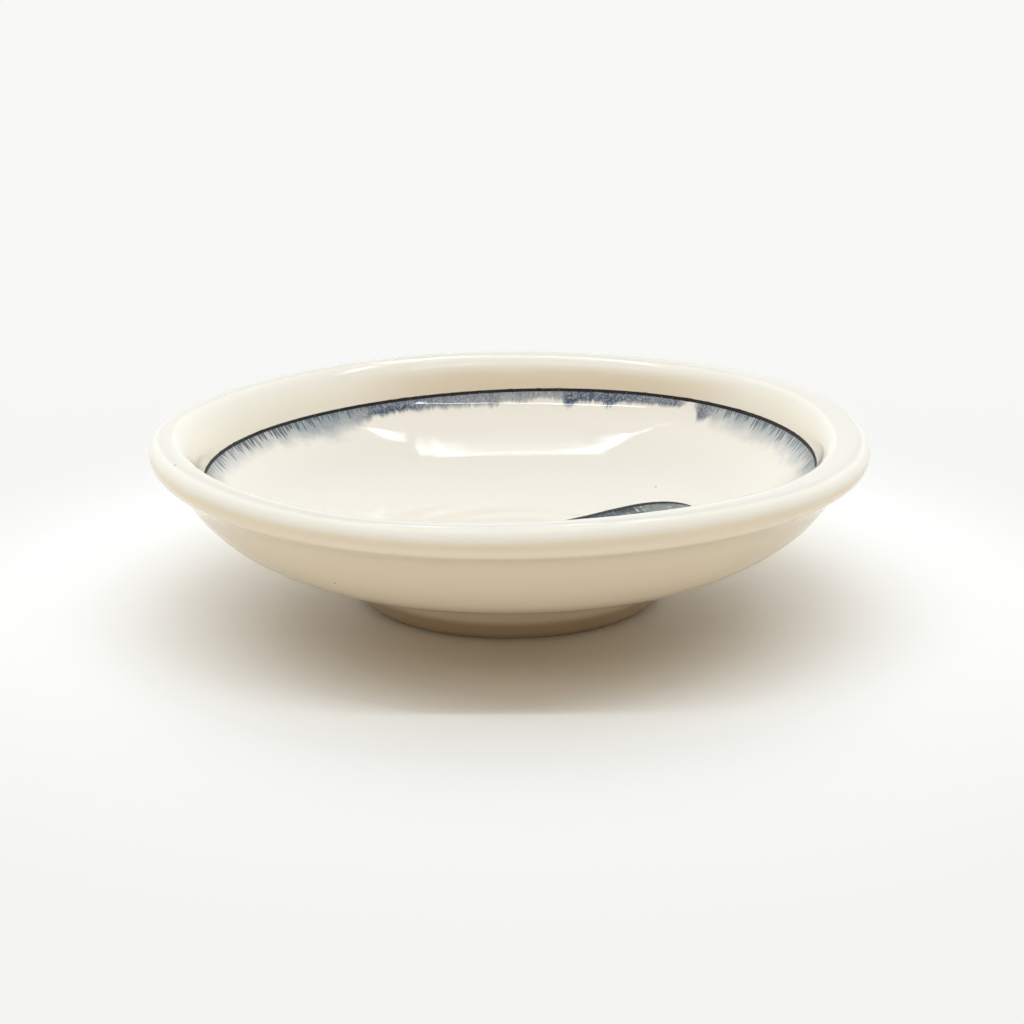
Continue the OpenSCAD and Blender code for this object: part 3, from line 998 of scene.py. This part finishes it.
# Each lamp that the glaze mirrors: its two ends in plan, its width, and how bright it is
mirrored_lamps = [
    ((-0.243, 0.160), (-0.292, 0.176), 0.012, 2.5), ((0.262, 0.122), (0.330, 0.155), 0.016, 1.2),
    ((0.170, -0.112), (0.196, -0.112), 0.022, 8.0), ((-0.290, 0.025), (-0.237, -0.012), strip_w, 12.0),
    ((-0.237, -0.012), (-0.085, -0.079), strip_w, 18.0), ((-0.085, -0.079), (0.018, -0.101), strip_w, 12.0),
    ((0.018, -0.101), (0.196, -0.107), strip_w, 18.0), ((-0.095, 0.235), (0.070, 0.240), 0.210, 0.7),
    ((0.049, 0.326), (0.065, 0.262), 0.032, 1.2), ((0.050, 0.320), (0.075, 0.215), 0.030, 1.0),
    ((0.053, 0.314), (0.088, 0.158), 0.028, 0.9), ((0.060, 0.320), (0.094, 0.170), 0.008, 0.8),
    ((0.042, 0.338), (0.068, 0.190), 0.008, 0.8), ((-0.075, 0.338), (-0.078, 0.275), 0.045, 0.9),
    ((-0.080, 0.338), (-0.088, 0.245), 0.036, 0.7), ((0.232, 0.133), (0.150, 0.150), 0.014, 3.5),
    ((0.180, 0.150), (0.103, 0.220), 0.022, 3.0), ((0.184, 0.144), (0.109, 0.196), 0.026, 2.8),
    ((0.188, 0.141), (0.115, 0.173), 0.026, 2.6), ((0.194, 0.137), (0.121, 0.150), 0.022, 2.2),
    ((-0.221, 0.174), (-0.150, 0.205), 0.012, 4.0), ((-0.165, 0.196), (-0.085, 0.300), 0.026, 2.5),
    ((-0.140, 0.208), (-0.071, 0.318), 0.032, 2.0), ((-0.150, 0.195), (-0.110, 0.240), 0.040, 1.2),
    ((-0.088, 0.333), (0.044, 0.336), 0.040, 0.4), ((-0.090, 0.321), (0.050, 0.324), 0.080, 0.4),
    ((-0.088, 0.292), (0.052, 0.295), 0.120, 0.8), ((0.033, 0.346), (0.045, 0.225), 0.026, 1.2),
    ((0.020, 0.346), (0.030, 0.265), 0.022, 0.8),
]
bead_start, bead_step, bead_count = Vector((0.021, 0.343)), Vector((-0.0138, -0.0003)), 7
bead_reach, bead_w, bead_glow = Vector((0.001, -0.045)), 0.006, 1.8
# Each front light, which the glaze doesn't mirror: its place along Y, its width and its power
front_l = 0.86
front_lamps = [(-0.10, strip_w, 1.02), (0.0, 0.20, 0.26)]


def lamp(name, start, end, width, power):
    """A flat lamp under the ceiling of the tent from one place to another, a hair lower than the last one."""
    light = bpy.data.lights.new(name, "AREA")
    light.shape, light.size, light.size_y = "RECTANGLE", (end - start).length, width
    light.energy, light.color = power, lamp_white
    holder = bpy.data.objects.new(name, light)
    holder.location = (*(start + end) / 2, ceiling_z - hang * len(bpy.data.lights))
    holder.rotation_euler = (0, 0, math.atan2(end.y - start.y, end.x - start.x))
    bpy.context.scene.collection.objects.link(holder)
    return holder


def mirrored(name, start, end, width, glow):
    """A lamp of a given brightness."""
    lamp(name, start, end, width, glow * math.pi * width * (end - start).length)


for i, (start, end, width, glow) in enumerate(mirrored_lamps):
    mirrored(f"glow {i}", Vector(start), Vector(end), width, glow)
for i in range(bead_count):
    bead = bead_start + i * bead_step
    mirrored(f"bead {i}", bead, bead + bead_reach, bead_w, bead_glow)
for front_y, width, power in front_lamps:
    left, right = Vector((-front_l / 2, front_y)), Vector((front_l / 2, front_y))
    front = lamp("front light", left, right, width, power)
    front.visible_glossy = False
print(len(bpy.data.lights), "lamps")

# %% Tent
tent_up_back, tent_up_front, tent_back = (0.22, 0.27, 0.31), (0.98, 0.99, 0.96), (1.94, 1.98, 1.985)
tent_left, tent_right = (0.30, 0.28, 0.245), (0.18, 0.16, 0.12)
tent_front_high, tent_front_low = (0.25, 0.14, 0.02), (0.53, 0.48, 0.43)
# How far back or forward, across and up a ray points where one wall of the tent turns into the next
end_wall, side_turns, ceiling_turns = 0.8, (-0.3, 0.3), (-0.4, 0.4)
high_turns, overhead_turns = (0.10, 0.40), (0.55, 0.90)
world = bpy.data.worlds.new("tent")
bpy.context.scene.world = world
tree = Tree(world)
direction = tree.add("ShaderNodeSeparateXYZ", {}, {0: tree.add("ShaderNodeTexCoord").out("Generated")})
behind = tree.between(direction.out("Y"), 0, end_wall)
before = tree.between(direction.out("Y"), 0, -end_wall)
sides = tree.mix(tree.between(direction.out("X"), *side_turns), tent_left, tent_right)
rear = tree.mix(behind, sides, tent_back)
high_wall, low_wall = (tree.mix(before, rear, colour) for colour in (tent_front_high, tent_front_low))
round_wall = tree.mix(tree.between(direction.out("Z"), *high_turns), low_wall, high_wall)
overhead = tree.mix(tree.between(direction.out("Y"), *ceiling_turns), tent_up_front, tent_up_back)
glow = tree.mix(tree.between(direction.out("Z"), *overhead_turns), round_wall, overhead)
walls = tree.add("ShaderNodeBackground", {}, {"Color": glow})
paper = tree.add("ShaderNodeBackground", {}, {"Color": (*paper_white, 1)})
tent = tree.add("ShaderNodeMixShader", {}, {0: seen_directly(tree), 1: walls, 2: paper})
tree.add("ShaderNodeOutputWorld", {}, {"Surface": tent})
print("tent has", len(tree.nodes), "nodes")

# %% Camera
camera_distance, rise, camera_roll = 0.33165, math.radians(18.664), math.radians(-0.25)
aim = Vector((0.0003, 0, 0.0123))
sensor_w, focal_length, nearest = 36, 77.1, 0.01
camera = bpy.data.objects.new("camera", bpy.data.cameras.new("camera"))
camera.location = camera_distance * Vector((0, -math.cos(rise), math.sin(rise)))
camera.data.sensor_width, camera.data.lens = sensor_w, focal_length
camera.data.clip_start = nearest
look = (aim - camera.location).to_track_quat("-Z", "Y").to_matrix()
camera.rotation_euler = (look @ Matrix.Rotation(camera_roll, 3, "Z")).to_euler()
bpy.context.scene.collection.objects.link(camera)
bpy.context.scene.camera = camera
bpy.context.scene.view_settings.view_transform = "Standard"
print("camera at, m:", [round(part, 3) for part in camera.location])

# %% [markdown]
# ## Sizes
# The looks must not change the dish's size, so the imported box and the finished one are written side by
# side.

# %% Write the sizes and finish
low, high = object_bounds()
print("finished box, mm:", [round(side / mm, 2) for side in high - low])
